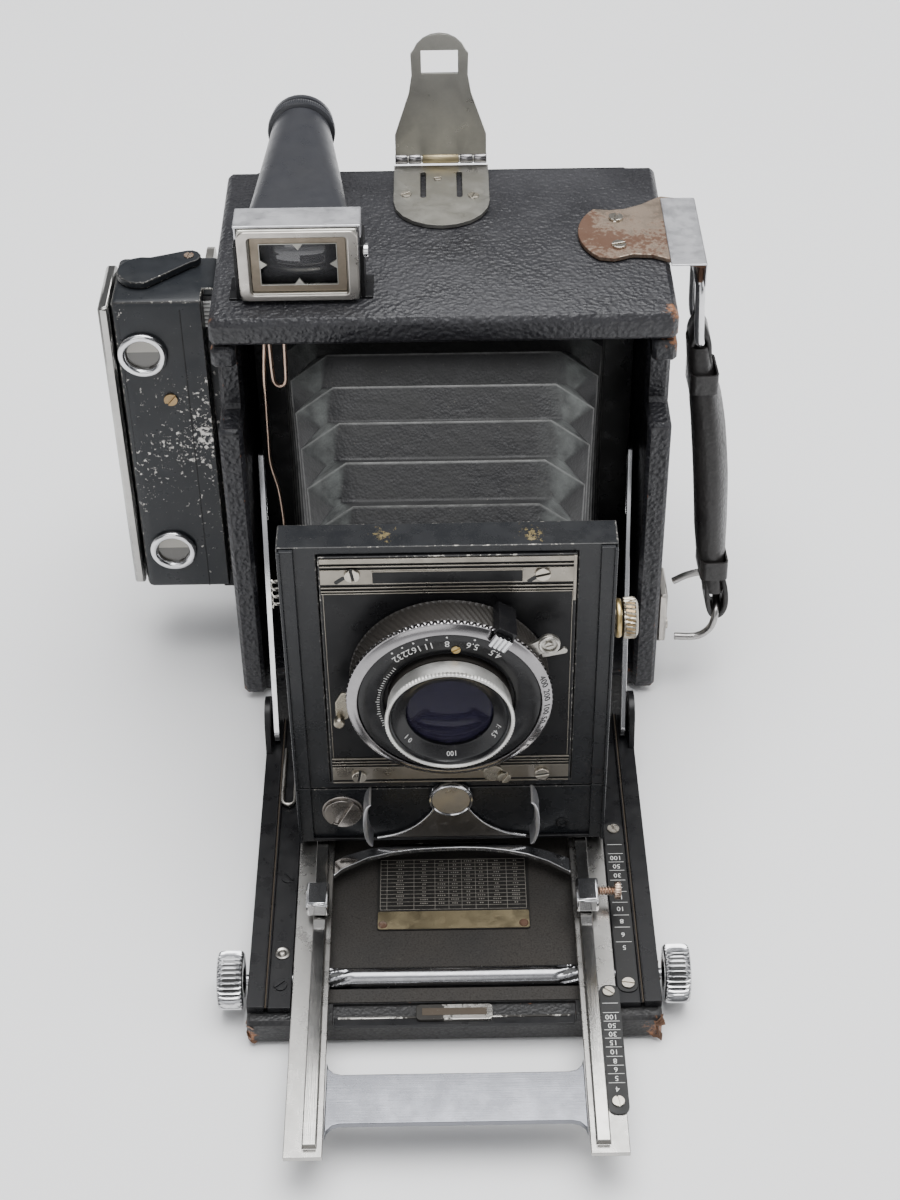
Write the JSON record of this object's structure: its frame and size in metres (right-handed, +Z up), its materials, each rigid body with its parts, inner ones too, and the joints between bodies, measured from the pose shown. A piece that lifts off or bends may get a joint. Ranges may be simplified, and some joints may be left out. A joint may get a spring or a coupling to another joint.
{
  "type": "press camera",
  "caption": "Folding-bed press camera with pleated bellows, racked focusing rails, leaf shutter lens, side rangefinder, tubular finder, peep sight and hand strap.",
  "frame": {"origin": "on the table, under the middle of the case", "axes": "+Z up, -Y towards the lens and the open bed, +X to the right as the lens faces the viewer"},
  "size_m": [0.1925, 0.2959, 0.1906],
  "materials": {
    "case_leather": "black grained leather over wood, scuffed to tan at the corners",
    "bellows_leather": "thin matt bellows leather, greyed along the folds",
    "strap_leather": "black strap leather, polished by handling",
    "black_enamel": "black enamel with worn edges",
    "chrome": "bright chrome plate",
    "nickel": "dull nickel plate",
    "aluminium": "satin metal",
    "lens_glass": "polished, coated",
    "curtain_cloth": "rubberised black cloth"
  },
  "bodies": {
    "root": {"case_top": "case_leather", "case_bottom": "case_leather", "case_left_wall": "case_leather", "case_right_wall": "case_leather", "case_partition": "black_enamel", "bellows": "bellows_leather", "shutter_curtain": "curtain_cloth", "back_frame": "black_enamel", "bed_hinge_pin": "nickel", "peep_base": "nickel", "handle_bracket_top": "nickel", "handle_bracket_bottom": "nickel", "rangefinder_housing": "black_enamel", "rangefinder_cover": "aluminium", "rangefinder_window_upper": "chrome", "rangefinder_window_lower": "chrome"},
    "roller_top": {"curtain_roller_top": "nickel"},
    "roller_bottom": {"curtain_roller_bottom": "nickel"},
    "winding_key": {"winding_key": "nickel"},
    "tension_knob": {"tension_knob": "nickel"},
    "shutter_release": {"shutter_release": "nickel"},
    "focusing_panel": {"ground_glass": "lens_glass", "focusing_hood": "case_leather"},
    "hood_lid": {"hood_lid": "case_leather"},
    "finder": {"finder_front": "nickel", "finder_lens": "lens_glass", "finder_tube": "black_enamel", "finder_eyepiece": "black_enamel"},
    "peep_leaf": {"peep_leaf": "nickel"},
    "handle": {"handle_ring_top": "chrome", "handle_ring_bottom": "chrome", "handle_strap": "strap_leather"},
    "rangefinder_cap": {"rangefinder_cap": "black_enamel"},
    "bed": {"bed_panel": "case_leather", "bed_track_left": "black_enamel", "bed_track_right": "black_enamel"},
    "bed_catch": {"bed_catch": "chrome"},
    "focus_drive": {"focus_shaft": "chrome", "focus_knob_left": "chrome", "focus_knob_right": "chrome"},
    "strut_left": {"strut_left": "chrome"},
    "strut_right": {"strut_right": "chrome"},
    "rails": {"rail_left": "aluminium", "rail_right": "aluminium", "rail_crossbar": "aluminium"},
    "stop_left": {"infinity_stop_left": "chrome"},
    "stop_right": {"infinity_stop_right": "chrome"},
    "standard": {"standard_base": "black_enamel"},
    "grip_left": {"clamp_grip_left": "chrome"},
    "grip_right": {"clamp_grip_right": "chrome"},
    "rise_knob": {"rise_knob": "nickel"},
    "lens_panel": {"lens_panel": "black_enamel", "lens_board": "black_enamel", "shutter_drum": "black_enamel", "lens_barrel": "aluminium", "front_lens": "lens_glass"},
    "speed_ring": {"speed_ring": "chrome"},
    "aperture_lever": {"aperture_lever": "chrome"},
    "cocking_lever": {"cocking_lever": "chrome"},
    "release_lever": {"release_lever": "chrome"}
  },
  "joints": [
    {"name": "bed_fold", "type": "hinge", "parent": "root", "child": "bed", "pos_m": [0, -0.0423, 0.003], "axis": [-1, 0, 0], "range_deg": [-15, 8], "deforming": ["bellows"]},
    {"name": "strut_left_turn", "type": "hinge", "parent": "bed", "child": "strut_left", "pos_m": [-0.0538, -0.0745, 0.015], "axis": [-1, 0, 0], "range_deg": [-7, 13]},
    {"name": "strut_right_turn", "type": "hinge", "parent": "bed", "child": "strut_right", "pos_m": [0.0538, -0.0745, 0.015], "axis": [-1, 0, 0], "range_deg": [-7, 13]},
    {"name": "bed_catch_press", "type": "slide", "parent": "bed", "child": "bed_catch", "axis": [0, -1, 0], "range_m": [0, 0.0015], "stiffness_N_per_m": 300},
    {"name": "focus_travel", "type": "slide", "parent": "bed", "child": "rails", "axis": [0, 1, 0], "range_m": [-0.006, 0.045], "deforming": ["bellows"]},
    {"name": "focus_knob_turn", "type": "hinge", "parent": "bed", "child": "focus_drive", "pos_m": [0, -0.1691, 0.0098], "axis": [1, 0, 0], "range_deg": [-862, 116]},
    {"name": "stop_left_flip", "type": "hinge", "parent": "rails", "child": "stop_left", "pos_m": [-0.034, -0.148, 0.0168], "axis": [0, 1, 0], "range_deg": [0, 180]},
    {"name": "stop_right_flip", "type": "hinge", "parent": "rails", "child": "stop_right", "pos_m": [0.034, -0.148, 0.0168], "axis": [0, -1, 0], "range_deg": [0, 180]},
    {"name": "standard_travel", "type": "slide", "parent": "rails", "child": "standard", "axis": [0, 1, 0], "range_m": [-0.017, 0.03], "deforming": ["bellows"]},
    {"name": "grip_left_squeeze", "type": "slide", "parent": "standard", "child": "grip_left", "axis": [1, 0, 0], "range_m": [0, 0.003], "stiffness_N_per_m": 150},
    {"name": "grip_right_squeeze", "type": "slide", "parent": "standard", "child": "grip_right", "axis": [-1, 0, 0], "range_m": [0, 0.003], "stiffness_N_per_m": 150},
    {"name": "rise_lock", "type": "hinge", "parent": "standard", "child": "rise_knob", "pos_m": [0.0453, -0.1155, 0.095], "axis": [1, 0, 0], "range_deg": [-180, 180]},
    {"name": "front_rise", "type": "slide", "parent": "standard", "child": "lens_panel", "axis": [0, 0, 1], "range_m": [0, 0.008], "deforming": ["bellows"]},
    {"name": "speed_select", "type": "hinge", "parent": "lens_panel", "child": "speed_ring", "pos_m": [0, -0.1355, 0.0825], "axis": [0, -1, 0], "range_deg": [0, 150]},
    {"name": "aperture_select", "type": "hinge", "parent": "lens_panel", "child": "aperture_lever", "pos_m": [0, -0.1355, 0.0825], "axis": [0, -1, 0], "range_deg": [0, 75]},
    {"name": "shutter_cock", "type": "hinge", "parent": "lens_panel", "child": "cocking_lever", "pos_m": [0, -0.1355, 0.0825], "axis": [0, -1, 0], "range_deg": [0, 50]},
    {"name": "shutter_trip", "type": "hinge", "parent": "lens_panel", "child": "release_lever", "pos_m": [0, -0.1355, 0.0825], "axis": [0, 1, 0], "range_deg": [0, 15], "stiffness_Nm_per_rad": 0.01},
    {"name": "peep_fold", "type": "hinge", "parent": "root", "child": "peep_leaf", "pos_m": [0, 0.0441, 0.1487], "axis": [1, 0, 0], "range_deg": [0, 90]},
    {"name": "finder_parallax", "type": "hinge", "parent": "root", "child": "finder", "pos_m": [-0.0407, -0.0325, 0.158], "axis": [1, 0, 0], "range_deg": [0, 3]},
    {"name": "rangefinder_cap_swing", "type": "hinge", "parent": "root", "child": "rangefinder_cap", "pos_m": [-0.0765, 0.003, 0.138], "axis": [0, 0, 1], "range_deg": [0, 60]},
    {"name": "handle_swing", "type": "hinge", "parent": "root", "child": "handle", "pos_m": [0.0745, -0.0075, 0.142], "axis": [-0.0211, -0.2026, -0.979], "range_deg": [-15, 15]},
    {"name": "curtain_wind", "type": "hinge", "parent": "root", "child": "winding_key", "pos_m": [-0.0673, 0.0275, 0.118], "axis": [-1, 0, 0], "range_deg": [0, 1440]},
    {"name": "roller_top_turn", "type": "hinge", "parent": "root", "child": "roller_top", "pos_m": [0, 0.0195, 0.1215], "axis": [-1, 0, 0], "range_deg": [0, 1440]},
    {"name": "roller_bottom_turn", "type": "hinge", "parent": "root", "child": "roller_bottom", "pos_m": [0, 0.0195, 0.0245], "axis": [-1, 0, 0], "range_deg": [0, 1440]},
    {"name": "curtain_tension", "type": "hinge", "parent": "root", "child": "tension_knob", "pos_m": [-0.0673, 0.0275, 0.092], "axis": [-1, 0, 0], "range_deg": [0, 300]},
    {"name": "shutter_press", "type": "slide", "parent": "root", "child": "shutter_release", "axis": [1, 0, 0], "range_m": [0, 0.0025], "stiffness_N_per_m": 200},
    {"name": "panel_spring_back", "type": "slide", "parent": "root", "child": "focusing_panel", "axis": [0, 1, 0], "range_m": [0, 0.006], "stiffness_N_per_m": 600},
    {"name": "hood_open", "type": "hinge", "parent": "focusing_panel", "child": "hood_lid", "pos_m": [0, 0.0638, 0.1136], "axis": [1, 0, 0], "range_deg": [0, 110]}
  ],
  "couplings": [
    {"joint": "strut_left_turn", "follows": "bed_fold", "ratio": -0.82},
    {"joint": "strut_right_turn", "follows": "bed_fold", "ratio": -0.82},
    {"joint": "focus_knob_turn", "follows": "focus_travel", "rad_per_m": -333.33},
    {"joint": "curtain_wind", "follows": "roller_top_turn", "ratio": 1},
    {"joint": "roller_bottom_turn", "follows": "roller_top_turn", "ratio": 1}
  ]
}
